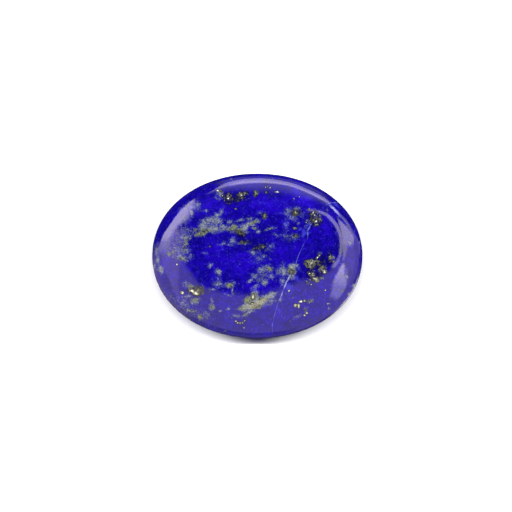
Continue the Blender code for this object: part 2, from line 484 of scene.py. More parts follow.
@dataclass(frozen=True)
class Oval:
    """The stone's form: a low dome on an upright girdle, rounded under to a flat back.

    Attributes:
        length: Size along X.
        width: Size along Y.
        thickness: Size along Z.
        dome_rise: Height of the dome over the girdle.
        girdle_height: Height of the upright band.
        back_rounding: How far the back's rounded edge reaches in, measured on the short axis.
        outline_power: Power of the outline's superellipse.
        crown_power: Power of the dome's height.
    """

    length: float
    width: float
    thickness: float
    dome_rise: float = 2.4 * MM
    girdle_height: float = 0.6 * MM
    back_rounding: float = 1.1 * MM
    outline_power: float = 2.06
    crown_power: float = 1 / 3

    @property
    def girdle_top(self) -> float:
        """Height at which the dome starts."""
        return self.thickness - self.dome_rise

    @property
    def girdle_foot(self) -> float:
        """Height at which the back's rounding starts."""
        return self.girdle_top - self.girdle_height

    def plan(self, share: np.ndarray, angle: np.ndarray) -> tuple[np.ndarray, np.ndarray]:
        """Places on the superellipse |x/a|^p + |y/b|^p = share^p, at the angle that a round stone would have.

        Args:
            share: Share of the way from the middle to the outline.
            angle: Angle from +X, in radians.

        Returns:
            The x and y of each place.
        """
        power = self.outline_power
        fullness = (np.abs(np.cos(angle)) ** power + np.abs(np.sin(angle)) ** power) ** (-1 / power)
        x = share * fullness * np.cos(angle) * self.length / 2
        y = share * fullness * np.sin(angle) * self.width / 2
        return x, y

    def share_at(self, x: np.ndarray, y: np.ndarray) -> np.ndarray:
        """Share of the way to the outline at a place in plan, the inverse of plan."""
        power = self.outline_power
        return (np.abs(2 * x / self.length) ** power + np.abs(2 * y / self.width) ** power) ** (1 / power)

    def dome_height(self, share: np.ndarray) -> np.ndarray:
        """Height of the dome: the girdle's top plus the rise times (1 - share^2) to the crown power."""
        return self.girdle_top + self.dome_rise * np.clip(1.0 - share**2, 0.0, 1.0) ** self.crown_power

    def lower_rows(self, dome_share: float) -> np.ndarray:
        """Section of the stone from a share of the dome outwards, down and under to the back.

        The dome's rows crowd towards the girdle. The girdle is upright, the rounding is a quarter of an
        ellipse, and the back is flat.

        Args:
            dome_share: Share at which the rows start. The first row lies just past it.

        Returns:
            One row of (share, height) for each ring of vertices.
        """
        steps = np.linspace(0.0, 1.0, 15)[1:]
        start = np.arcsin(dome_share)
        turned = np.pi / 2 - (np.pi / 2 - start) * (1.0 - steps) ** 1.3
        dome = np.column_stack([np.sin(turned), self.dome_height(np.sin(turned))])
        girdle = np.column_stack([np.ones(3), np.linspace(self.girdle_top, self.girdle_foot, 4)[1:]])
        under = np.linspace(0.0, np.pi / 2, 12)[1:]
        inset = self.back_rounding / (self.width / 2)
        rounding = np.column_stack([1.0 - inset * (1.0 - np.cos(under)), self.girdle_foot * (1.0 - np.sin(under))])
        flat = np.linspace(1.0 - inset, 0.0, 8)[1:-1]
        back = np.column_stack([flat, np.zeros_like(flat)])
        return np.vstack([dome, girdle, rounding, back])


@dataclass(frozen=True)
class Chip:
    """A small flake lost from the stone, in millimetres.

    Attributes:
        x: Place along the long axis.
        y: Place along the short axis.
        z: Height.
        reach: Half its width along the rim.
        tall: Half its height.
        depth: How deep it goes.
    """

    x: float
    y: float
    z: float
    reach: float
    tall: float
    depth: float


RIM_CHIPS: tuple[Chip, ...] = (
    Chip(1.46, 6.93, 2.35, 0.11, 0.50, 0.10),
    Chip(7.42, -4.02, 2.45, 0.16, 0.20, 0.05),
    Chip(7.05, -4.42, 2.50, 0.12, 0.18, 0.04),
    Chip(8.35, -2.62, 2.50, 0.14, 0.16, 0.03),
    Chip(-8.60, -0.95, 2.40, 0.15, 0.16, 0.03),
    Chip(-4.30, 6.22, 0.40, 0.30, 0.22, 0.06),
    Chip(5.60, -5.20, 0.60, 0.24, 0.26, 0.05),
)


def smooth_step(value: np.ndarray, low: float, high: float) -> np.ndarray:
    """Share of the way from low to high, held between 0 and 1 and eased by 3t^2 - 2t^3."""
    share = np.clip((value - low) / (high - low), 0.0, 1.0)
    return share**2 * (3.0 - 2.0 * share)


def hex_to_linear(code: str) -> tuple[float, float, float, float]:
    """Turns an sRGB hex colour into linear red, green, blue and an alpha of 1.

    Args:
        code: Six hex digits after a number sign.

    Returns:
        The colour for a shader socket.
    """
    channels = np.array([int(code[i : i + 2], 16) for i in (1, 3, 5)]) / 255
    linear = np.where(channels <= 0.04045, channels / 12.92, ((channels + 0.055) / 1.055) ** 2.4)
    return (*(float(c) for c in linear), 1.0)


def add_node(
    tree: bpy.types.NodeTree,
    kind: str,
    settings: dict[str, object] | None = None,
    inputs: dict[str | int, object] | None = None,
) -> bpy.types.Node:
    """Adds a node with its settings, its values and its links.

    Args:
        tree: Node tree that the node goes into.
        kind: Node type, without the leading ShaderNode.
        settings: Properties of the node.
        inputs: Input sockets by name or number. A socket as the value makes a link.

    Returns:
        The node.
    """
    node = tree.nodes.new("ShaderNode" + kind)
    for name, value in (settings or {}).items():
        setattr(node, name, value)
    for name, value in (inputs or {}).items():
        if isinstance(value, bpy.types.NodeSocket):
            tree.links.new(value, node.inputs[name])
        else:
            node.inputs[name].default_value = value
    return node


def mesh_object(
    name: str,
    vertices: np.ndarray,
    faces: list[list[int]],
    material: bpy.types.Material,
) -> bpy.types.Object:
    """Makes a smooth-shaded mesh object at the origin.

    Args:
        name: Name of the object and its mesh.
        vertices: Places, one row each.
        faces: Vertex numbers of each face, in order round it as seen from outside.
        material: Its one material.

    Returns:
        The object, linked to the scene.
    """
    mesh = bpy.data.meshes.new(name)
    mesh.from_pydata(vertices, [], faces)
    mesh.shade_smooth()
    mesh.materials.append(material)
    made = bpy.data.objects.new(name, mesh)
    bpy.context.scene.collection.objects.link(made)
    return made


def store_attribute(mesh: bpy.types.Mesh, name: str, values: np.ndarray) -> None:
    """Stores one number, or three, for each vertex under a name that a material can read.

    Args:
        mesh: Mesh that gets the attribute.
        name: Name of the attribute.
        values: One value, or one row of three, for each vertex.
    """
    kind, member = ("FLOAT", "value") if values.ndim == 1 else ("FLOAT_VECTOR", "vector")
    attribute = mesh.attributes.new(name, kind, "POINT")
    attribute.data.foreach_set(member, values.astype(np.float32).ravel())


@dataclass(frozen=True)
class MineralMap:
    """Fields of the minerals over the stone.

    Attributes:
        oval: Form of the stone.
        seed: Seed of the warp.
        depth: How far a marking on the dome reaches down into the stone.
    """

    oval: Oval
    seed: int = 7
    depth: float = 1.6 * MM

    def warped(self, points: np.ndarray, reach: float) -> np.ndarray:
        """Points moved by two sizes of noise, which makes an ellipse's edge ragged.

        Args:
            points: Places, one row each.
            reach: How far the coarse noise moves a point; the fine noise moves it a third as far.

        Returns:
            The moved places.
        """
        moved = points.copy()
        for axis in range(3):
            coarse = LatticeNoise(self.seed + axis).at(points, 0.62 * MM)
            fine = LatticeNoise(self.seed + 10 + axis).at(points, 0.22 * MM)
            moved[:, axis] += reach * (coarse + fine / 3)
        return moved

    def patch_field(self, points: np.ndarray, patch: Patch, height: float, depth: float) -> np.ndarray:
        """Field of one patch: its strength times (1 - q).

        q is the distance from the patch's middle in units of its semi-axes, down as well as across, so the
        field is 0 where q is 1 and negative outside.

        Args:
            points: Places, one row each.
            patch: The patch.
            height: Height of the patch's middle.
            depth: Its semi-axis up and down.

        Returns:
            One value for each point.
        """
        turn = np.radians(patch.turn)
        x = points[:, 0] - patch.x * MM
        y = points[:, 1] - patch.y * MM
        along = (x * np.cos(turn) + y * np.sin(turn)) / (patch.long * MM)
        across = (y * np.cos(turn) - x * np.sin(turn)) / (patch.short * MM)
        down = (points[:, 2] - height) / depth
        return patch.strength * (1.0 - np.sqrt(along**2 + across**2 + down**2))

    def field(self, points: np.ndarray, patches: tuple[Patch, ...], reach: float) -> np.ndarray:
        """Field of all the patches of one mineral, which run together where they touch.

        Each patch's field is raised by a half and held above 0. The fourth root of the sum of their fourth
        powers, less the half, is near the largest of them, and a little more where several meet.

        Args:
            points: Places, one row each.
            patches: The mineral's patches on the dome.
            reach: How far noise moves the patches' edges.

        Returns:
            One value for each point.
        """
        moved = self.warped(points, reach)
        total = np.zeros(len(points))
        for patch in patches:
            share = self.oval.share_at(np.array(patch.x * MM), np.array(patch.y * MM))
            height = float(self.oval.dome_height(share))
            total += np.clip(self.patch_field(moved, patch, height, self.depth) + 0.5, 0.0, None) ** 4
        return total**0.25 - 0.5

    def hidden_patches(self, count: int, small: float, large: float, seed: int) -> list[tuple[Patch, float]]:
        """Seeded patches with their heights, for the sides and the back, which the picture doesn't show.

        Args:
            count: How many.
            small: Smallest semi-axis in millimetres.
            large: Largest semi-axis in millimetres.
            seed: Seed of their places and sizes.

        Returns:
            Pairs of a patch and the height of its middle.
        """
        random = np.random.default_rng(seed)
        share = np.sqrt(random.uniform(0.0, 1.0, count))
        angle = random.uniform(0.0, 2 * np.pi, count)
        x, y = self.oval.plan(share, angle)
        height = np.where(share > 0.85, random.uniform(0.0, self.oval.girdle_top, count), 0.0)
        long = random.uniform(small, large, count)
        short = long * random.uniform(0.4, 0.9, count)
        turn = random.uniform(0.0, 180.0, count)
        strength = random.uniform(0.7, 1.3, count)
        sizes = zip(x / MM, y / MM, long, short, turn, strength, strict=True)
        return [(Patch(*size), float(z)) for size, z in zip(sizes, height, strict=True)]

    def hidden_field(self, points: np.ndarray, count: int, small: float, large: float, seed: int) -> np.ndarray:
        """Field of the seeded patches, faded out above the girdle's top.

        Args:
            points: Places, one row each.
            count: How many patches.
            small: Smallest semi-axis in millimetres.
            large: Largest semi-axis in millimetres.
            seed: Seed of their places and sizes.

        Returns:
            One value for each point.
        """
        moved = self.warped(points, 0.12 * MM)
        total = np.full(len(points), -1.0)
        for patch, height in self.hidden_patches(count, small, large, seed):
            total = np.maximum(total, self.patch_field(moved, patch, height, patch.long * MM))
        fade = smooth_step(points[:, 2], self.oval.girdle_top, self.oval.girdle_top - 0.5 * MM)
        return np.clip((total + 0.5) * fade - 0.5, -0.5, None)

    def fields(self, points: np.ndarray) -> dict[Mineral, np.ndarray]:
        """Field of each mineral over the whole stone.

        Args:
            points: Places, one row each.

        Returns:
            One value for each point and mineral.
        """
        dome = {
            Mineral.CALCITE: self.field(points, CALCITE_CLOUDS, 0.13 * MM),
            Mineral.STAIN: self.field(points, STAINED_CALCITE, 0.10 * MM),
            Mineral.PYRITE: self.field(points, PYRITE_GRAINS, 0.03 * MM),
            Mineral.PALE_BLUE: self.field(points, PALE_BLUE_WISPS, 0.12 * MM),
            Mineral.DEEP_BLUE: self.field(points, DEEP_BLUE_CLOUDS, 0.25 * MM),
            Mineral.BRIGHT_BLUE: self.field(points, BRIGHT_BLUE_CLOUDS, 0.25 * MM),
        }
        hidden = {
            Mineral.CALCITE: self.hidden_field(points, 70, 0.25, 1.10, 21),
            Mineral.STAIN: self.hidden_field(points, 36, 0.20, 0.70, 22),
            Mineral.PYRITE: self.hidden_field(points, 90, 0.06, 0.32, 23),
            Mineral.PALE_BLUE: self.hidden_field(points, 24, 0.30, 0.90, 24),
            Mineral.DEEP_BLUE: self.hidden_field(points, 20, 0.60, 1.60, 25),
            Mineral.BRIGHT_BLUE: self.hidden_field(points, 16, 0.60, 1.60, 26),
        }
        return {mineral: np.maximum(dome[mineral], hidden[mineral]) for mineral in Mineral}


@dataclass(frozen=True)
class HealedCrack:
    """A hair-thin pale crack that crosses the dome from the upper right rim to the lower middle.

    Attributes:
        route: Places that it passes, as (x, y) in millimetres, from the top down.
        half_widths: Half its width at each of those places, in millimetres.
    """

    route: tuple[tuple[float, float], ...] = (
        (7.05, 4.62), (6.40, 4.55), (5.88, 4.38), (5.45, 4.01), (4.62, 2.80), (4.28, 2.10), (4.26, 1.47),
        (3.96, 1.04), (3.50, 0.07), (3.24, -0.75), (2.74, -1.72), (2.40, -2.45), (2.19, -2.95),
        (2.04, -3.44), (1.82, -3.87), (1.72, -4.20), (1.62, -4.54), (1.43, -5.09), (1.30, -5.75),
        (1.26, -6.60),
    )
    half_widths: tuple[float, ...] = (
        0.036, 0.032, 0.012, 0.004, 0.036, 0.060, 0.026,
        0.018, 0.016, 0.028, 0.056, 0.052, 0.060,
        0.060, 0.026, 0.005, 0.018, 0.006, 0.014,
        0.003,
    )

    def offset(self, points: np.ndarray) -> tuple[np.ndarray, np.ndarray]:
        """Signed distance across the crack and half its width beside each point.

        The route is read by its y, so the distance is the difference in x times the cosine of the crack's
        lean. It keeps its sign, so that it can be blended between vertices without blunting the line.

        Args:
            points: Places, one row each.

        Returns:
            The distances and the half widths, in metres.
        """
        route = np.array(self.route[::-1]) * MM
        widths = np.array(self.half_widths[::-1]) * MM
        y = points[:, 1]
        x = np.interp(y, route[:, 1], route[:, 0])
        nearby = 0.1 * MM
        ahead = np.interp(y + nearby, route[:, 1], route[:, 0])
        behind = np.interp(y - nearby, route[:, 1], route[:, 0])
        lean = (ahead - behind) / (2 * nearby)
        return (points[:, 0] - x) / np.sqrt(1.0 + lean**2), np.interp(y, route[:, 1], widths)


@dataclass(frozen=True)
class PolishedLapis:
    """Lapis lazuli, cut and polished to a glassy gloss.

    The ground is lazurite in fine grains. Calcite makes pale granular clouds in it, some stained olive by
    the pyrite, whose brassy grains glint because each lies at its own angle.

    Attributes:
        deep: Darkest lazurite.
        ground: Common lazurite.
        bright: Brightest lazurite.
        pale: Lazurite with fine calcite in it.
        cloud_blue: Calcite with much lazurite.
        cloud_pale: Nearly pure calcite.
        olive: Calcite stained by pyrite.
        umber: Darkest stain.
        cream: Stained calcite where it is thick.
        shadow: Stone right beside pyrite.
        tarnish: Dull pyrite.
        worn_brass: Pyrite that the polish has only reached in part.
        brass: Bright pyrite.
        crack: Calcite that filled the crack, with some lazurite in its upper half.
        crack_pale: The same in its lower half.
    """

    deep: str = "#05005A"
    ground: str = "#0B0087"
    bright: str = "#2404C4"
    pale: str = "#3A3CC8"
    cloud_blue: str = "#454C82"
    cloud_pale: str = "#878E90"
    olive: str = "#6F7753"
    umber: str = "#2B2A35"
    cream: str = "#8C8A76"
    shadow: str = "#08063A"
    tarnish: str = "#3E3E34"
    worn_brass: str = "#6A6E57"
    brass: str = "#BECCBC"
    crack: str = "#7082D4"
    crack_pale: str = "#9CA2C6"

    def material(self) -> bpy.types.Material:
        """Builds the material.

        Returns:
            The material, whose colour, metal, roughness and relief come from the mineral fields.
        """
        material = bpy.data.materials.new("polished_lapis_lazuli")
        material.use_nodes = True
        tree = material.node_tree
        tree.nodes.clear()
        place = add_node(tree, "TexCoord").outputs["Object"]
        grain = self.grain(tree, place)
        ground = self.lazurite(tree, place, grain)
        cover, clouded = self.calcite(tree, place, grain, ground)
        cracked = self.shaded(tree, self.crack_fill(tree, place, clouded))
        pyrite, worn, metal = self.pyrite(tree, place)
        dull = self.mixed(tree, worn, hex_to_linear(self.tarnish), hex_to_linear(self.worn_brass))
        colour = self.mixed(tree, metal, self.mixed(tree, pyrite, cracked, dull), hex_to_linear(self.brass))
        roughness = self.roughness(tree, cover, pyrite)
        normal = self.relief(tree, place, grain, cover, pyrite)
        shader = add_node(
            tree,
            "BsdfPrincipled",
            inputs={"Base Color": colour, "Metallic": metal, "Roughness": roughness, "Normal": normal, "IOR": 1.5},
        )
        add_node(tree, "OutputMaterial", inputs={"Surface": shader.outputs["BSDF"]})
        return material

    def mixed(
        self,
        tree: bpy.types.NodeTree,
        share: bpy.types.NodeSocket | float,
        first: bpy.types.NodeSocket | tuple[float, ...],
        second: bpy.types.NodeSocket | tuple[float, ...],
    ) -> bpy.types.NodeSocket:
        """Colour between two others.

        Args:
            tree: The material's nodes.
            share: 0 for the first colour and 1 for the second.
            first: A colour.
            second: Another colour.

        Returns:
            The mixed colour's socket.
        """
        node = add_node(tree, "Mix", {"data_type": "RGBA"}, {0: share, 6: first, 7: second})
        return node.outputs[2]

    def field(self, tree: bpy.types.NodeTree, name: str) -> bpy.types.NodeSocket:
        """The mesh attribute of this name."""
        return add_node(tree, "Attribute", {"attribute_name": name}).outputs["Fac"]

    def noise(
        self, tree: bpy.types.NodeTree, place: bpy.types.NodeSocket, size_mm: float, detail: float, rough: float = 0.5
    ) -> bpy.types.NodeSocket:
        """Fractal noise from 0 to 1 whose largest blotches have this size in millimetres."""
        values = {"Vector": place, "Scale": 1 / (size_mm * MM), "Detail": detail, "Roughness": rough}
        return add_node(tree, "TexNoise", inputs=values).outputs["Fac"]

    def math(
        self,
        tree: bpy.types.NodeTree,
        operation: str,
        first: bpy.types.NodeSocket | float,
        second: bpy.types.NodeSocket | float = 0.0,
        third: bpy.types.NodeSocket | float = 0.0,
    ) -> bpy.types.NodeSocket:
        """Result of one sum on two or three numbers."""
        return add_node(tree, "Math", {"operation": operation}, {0: first, 1: second, 2: third}).outputs[0]

    def stepped(
        self, tree: bpy.types.NodeTree, value: bpy.types.NodeSocket, low: float, high: float
    ) -> bpy.types.NodeSocket:
        """Eases a number from 0 at low to 1 at high."""
        node = add_node(
            tree,
            "MapRange",
            {"interpolation_type": "SMOOTHSTEP"},
            {"Value": value, "From Min": low, "From Max": high},
        )
        return node.outputs["Result"]

    def grain(self, tree: bpy.types.NodeTree, place: bpy.types.NodeSocket) -> bpy.types.Node:
        """Cells of 0.13 mm, the size of the stone's sugary grain."""
        return add_node(tree, "TexVoronoi", inputs={"Vector": place, "Scale": 1 / (0.13 * MM), "Randomness": 1.0})

    def lazurite(
        self, tree: bpy.types.NodeTree, place: bpy.types.NodeSocket, grain: bpy.types.Node
    ) -> bpy.types.NodeSocket:
        """The blue ground: blotches of 2 mm and 0.5 mm, with each grain a little lighter or darker.

        Args:
            tree: The material's nodes.
            place: Object coordinates.
            grain: The cells of the stone's grain.

        Returns:
            The ground's colour.
        """
        broad = self.noise(tree, place, 2.0, 2.0)
        mottle = self.noise(tree, place, 0.50, 4.0, 0.62)
        single = add_node(tree, "SeparateColor", inputs={"Color": grain.outputs["Color"]}).outputs["Red"]
        tone = self.math(tree, "MULTIPLY_ADD", mottle, 0.46, self.math(tree, "MULTIPLY_ADD", broad, 0.32, 0.21))
        tone = self.math(tree, "MULTIPLY_ADD", single, 0.16, tone)
        dark = self.stepped(tree, self.field(tree, Mineral.DEEP_BLUE.value), -0.1, 0.9)
        tone = self.math(tree, "MULTIPLY_ADD", dark, -0.22, tone)
        light = self.stepped(tree, self.field(tree, Mineral.BRIGHT_BLUE.value), -0.3, 0.9)
        tone = self.math(tree, "MULTIPLY_ADD", light, 0.16, tone)
        shades = add_node(tree, "ValToRGB", inputs={"Fac": tone})
        ramp = shades.color_ramp
        ramp.elements[0].position = 0.40
        ramp.elements[0].color = hex_to_linear(self.deep)
        ramp.elements[1].position = 0.95
        ramp.elements[1].color = hex_to_linear(self.bright)
        ramp.elements.new(0.66).color = hex_to_linear(self.ground)
        wisp = self.noise(tree, place, 0.9, 5.0, 0.7)
        lit = self.math(tree, "MULTIPLY_ADD", self.field(tree, Mineral.PALE_BLUE.value), 0.35, wisp)
        share = self.math(tree, "MULTIPLY", self.stepped(tree, lit, 0.58, 0.86), 0.75)
        fleck = self.stepped(tree, self.noise(tree, place, 0.20, 3.0, 0.7), 0.58, 0.74)
        pale = self.math(tree, "MAXIMUM", share, self.math(tree, "MULTIPLY", fleck, 0.55))
        return self.mixed(tree, pale, shades.outputs["Color"], hex_to_linear(self.pale))

    def calcite(
        self,
        tree: bpy.types.NodeTree,
        place: bpy.types.NodeSocket,
        grain: bpy.types.Node,
        ground: bpy.types.NodeSocket,
    ) -> tuple[bpy.types.NodeSocket, bpy.types.NodeSocket]:
        """Pale clouds over the ground, broken into grains at their edges and stained olive in places.

        Args:
            tree: The material's nodes.
            place: Object coordinates.
            grain: The cells of the stone's grain.
            ground: Colour of the ground.

        Returns:
            How far calcite covers the ground, and the colour with the clouds laid on.
        """
        ragged = self.noise(tree, place, 0.34, 5.0, 0.74)
        fine = self.noise(tree, place, 0.11, 2.0, 0.6)
        edge = self.math(tree, "MULTIPLY_ADD", ragged, 1.9, -0.95)
        edge = self.math(tree, "ADD", edge, self.math(tree, "MULTIPLY_ADD", fine, 2.2, -1.1))
        thickness = self.field(tree, Mineral.CALCITE.value)
        cloud = self.math(tree, "ADD", thickness, edge)
        cover = self.math(tree, "MULTIPLY", self.stepped(tree, cloud, -0.35, 0.95), 0.95)
        milky = self.noise(tree, place, 0.40, 4.0, 0.65)
        share = self.stepped(tree, self.math(tree, "MULTIPLY_ADD", cloud, 0.45, milky), 0.40, 1.05)
        calcite = self.mixed(tree, share, hex_to_linear(self.cloud_blue), hex_to_linear(self.cloud_pale))
        stain = self.math(tree, "ADD", self.field(tree, Mineral.STAIN.value), edge)
        stained = self.math(tree, "MULTIPLY", self.stepped(tree, stain, -0.15, 0.70), 0.92)
        murk = self.noise(tree, place, 0.26, 3.0, 0.6)
        thick = self.stepped(tree, thickness, 0.7, 1.5)
        light = self.mixed(tree, thick, hex_to_linear(self.olive), hex_to_linear(self.cream))
        murky = self.math(tree, "MULTIPLY_ADD", thick, 0.12, murk)
        olive = self.mixed(tree, self.stepped(tree, murky, 0.54, 0.33), light, hex_to_linear(self.umber))
        clouded = self.mixed(tree, cover, ground, calcite)
        both = self.math(tree, "MAXIMUM", cover, stained)
        mixed = self.mixed(tree, stained, clouded, olive)
        sugar = self.noise(tree, place, 0.13, 2.0, 0.7)
        glitter = self.math(tree, "MULTIPLY_ADD", sugar, 3.2, -0.6)
        uneven = add_node(tree, "Mix", {"data_type": "FLOAT"}, {0: both, 2: 1.0, 3: glitter}).outputs[0]
        grained = add_node(tree, "VectorMath", {"operation": "SCALE"}, {0: mixed, "Scale": uneven})
        return both, grained.outputs[0]

    def crack_fill(
        self, tree: bpy.types.NodeTree, place: bpy.types.NodeSocket, colour: bpy.types.NodeSocket
    ) -> bpy.types.NodeSocket:
        """The pale hairline, sugary, shivering a little from side to side and fading in and out.

        Args:
            tree: The material's nodes.
            place: Object coordinates.
            colour: Colour that the crack crosses.

        Returns:
            The colour with the crack drawn on.
        """
        shiver = self.math(tree, "MULTIPLY_ADD", self.noise(tree, place, 0.5, 3.0), 0.16 * MM, -0.08 * MM)
        offset = self.math(tree, "ABSOLUTE", self.math(tree, "ADD", self.field(tree, "crack_offset"), shiver))
        width = self.field(tree, "crack_half_width")
        share = self.math(tree, "SUBTRACT", 1.0, self.math(tree, "DIVIDE", offset, width))
        faint = self.stepped(tree, self.noise(tree, place, 0.8, 3.0, 0.6), 0.30, 0.62)
        line = self.math(tree, "MULTIPLY", self.stepped(tree, share, -0.4, 0.5), faint)
        sugar = self.stepped(tree, self.noise(tree, place, 0.20, 2.0, 0.5), 0.36, 0.58)
        line = self.math(tree, "MULTIPLY", line, self.math(tree, "MULTIPLY_ADD", sugar, 0.5, 0.5))
        south = add_node(tree, "SeparateXYZ", inputs={"Vector": place}).outputs["Y"]
        pale = self.stepped(tree, south, -0.4 * MM, -1.2 * MM)
        fill = self.mixed(tree, pale, hex_to_linear(self.crack), hex_to_linear(self.crack_pale))
        return self.mixed(tree, line, colour, fill)

    def shaded(
        self, tree: bpy.types.NodeTree, colour: bpy.types.NodeSocket
    ) -> bpy.types.NodeSocket:
        """The stone round the pyrite, which is darker than elsewhere.

        Args:
            tree: The material's nodes.
            colour: Colour of the stone without pyrite.

        Returns:
            The colour with dark haloes.
        """
        near = self.stepped(tree, self.field(tree, Mineral.PYRITE.value), -0.46, 0.05)
        return self.mixed(tree, self.math(tree, "MULTIPLY", near, 0.82), colour, hex_to_linear(self.shadow))

    def facets(self, tree: bpy.types.NodeTree, place: bpy.types.NodeSocket) -> bpy.types.NodeSocket:
        """Pyrite crystals of 0.15 mm, as three random numbers for each, in a colour."""
        crystals = add_node(tree, "TexVoronoi", inputs={"Vector": place, "Scale": 1 / (0.15 * MM)})
        return crystals.outputs["Color"]

    def pyrite(
        self, tree: bpy.types.NodeTree, place: bpy.types.NodeSocket
    ) -> tuple[bpy.types.NodeSocket, bpy.types.NodeSocket, bpy.types.NodeSocket]:
        """Where pyrite lies, which of it is less dull, and which of it is bright metal.

        Its field has crystals missing at random and is cut off sharply. A strong field is bright all over,
        and a weak one only here and there.

        Args:
            tree: The material's nodes.
            place: Object coordinates.

        Returns:
            1 on pyrite and 0 elsewhere, 1 where pyrite is less dull, and 1 on bright pyrite and 0 elsewhere.
        """
        field = self.field(tree, Mineral.PYRITE.value)
        single = add_node(tree, "SeparateColor", inputs={"Color": self.facets(tree, place)})
        missing = self.math(tree, "MULTIPLY_ADD", single.outputs["Blue"], 0.9, -0.45)
        fine = self.math(tree, "MULTIPLY_ADD", self.noise(tree, place, 0.14, 3.0, 0.7), 1.0, -0.5)
        present = self.math(tree, "ADD", self.math(tree, "ADD", field, missing), fine)
        mask = self.stepped(tree, present, 0.14, 0.34)
        shine = self.math(tree, "MULTIPLY_ADD", single.outputs["Green"], 0.9, field)
        shine = self.math(tree, "MULTIPLY_ADD", fine, 2.4, shine)
        bright = self.math(tree, "MULTIPLY", mask, self.stepped(tree, shine, 1.12, 1.42))
        return mask, self.stepped(tree, shine, 0.60, 1.05), bright

    def roughness(
        self, tree: bpy.types.NodeTree, cover: bpy.types.NodeSocket, pyrite: bpy.types.NodeSocket
    ) -> bpy.types.NodeSocket:
        """Glassy on lazurite, a little duller on calcite, and duller again on the pitted pyrite.

        Args:
            tree: The material's nodes.
            cover: How far calcite covers the ground.
            pyrite: 1 on pyrite.

        Returns:
            The roughness.
        """
        stone = self.math(tree, "MULTIPLY_ADD", cover, 0.06, 0.05)
        return add_node(tree, "Mix", {"data_type": "FLOAT"}, {0: pyrite, 2: stone, 3: 0.24}).outputs[0]

    def relief(
        self,
        tree: bpy.types.NodeTree,
        place: bpy.types.NodeSocket,
        grain: bpy.types.Node,
        cover: bpy.types.NodeSocket,
        pyrite: bpy.types.NodeSocket,
    ) -> bpy.types.NodeSocket:
        """Surface direction: a faint orange peel, pits in the clouds, and pyrite faces at their own angles.

        Args:
            tree: The material's nodes.
            place: Object coordinates.
            grain: The cells of the stone's grain.
            cover: How far calcite covers the ground.
            pyrite: 1 on pyrite.

        Returns:
            The normal.
        """
        peel = self.noise(tree, place, 0.35, 2.0)
        pits = self.math(tree, "MULTIPLY", cover, grain.outputs["Distance"])
        height = self.math(tree, "MULTIPLY_ADD", peel, 0.20, pits)
        bump = add_node(tree, "Bump", inputs={"Strength": 1.0, "Distance": 0.006 * MM, "Height": height})
        facets = self.facets(tree, place)
        lean = add_node(tree, "VectorMath", {"operation": "SUBTRACT"}, {0: facets, 1: (0.5, 0.5, 0.5)})
        square = add_node(tree, "VectorMath", {"operation": "MULTIPLY"}, {0: lean.outputs[0], 1: lean.outputs[0]})
        steep = add_node(tree, "VectorMath", {"operation": "MULTIPLY"}, {0: lean.outputs[0], 1: square.outputs[0]})
        leaning = add_node(
            tree,
            "VectorMath",
            {"operation": "MULTIPLY_ADD"},
            {0: steep.outputs[0], 1: (2.4, 2.4, 2.4), 2: bump.outputs["Normal"]},
        )
        facing = add_node(tree, "VectorMath", {"operation": "NORMALIZE"}, {0: leaning.outputs[0]})
        both = add_node(
            tree, "Mix", {"data_type": "VECTOR"}, {0: pyrite, 4: bump.outputs["Normal"], 5: facing.outputs[0]}
        )
        return both.outputs[1]


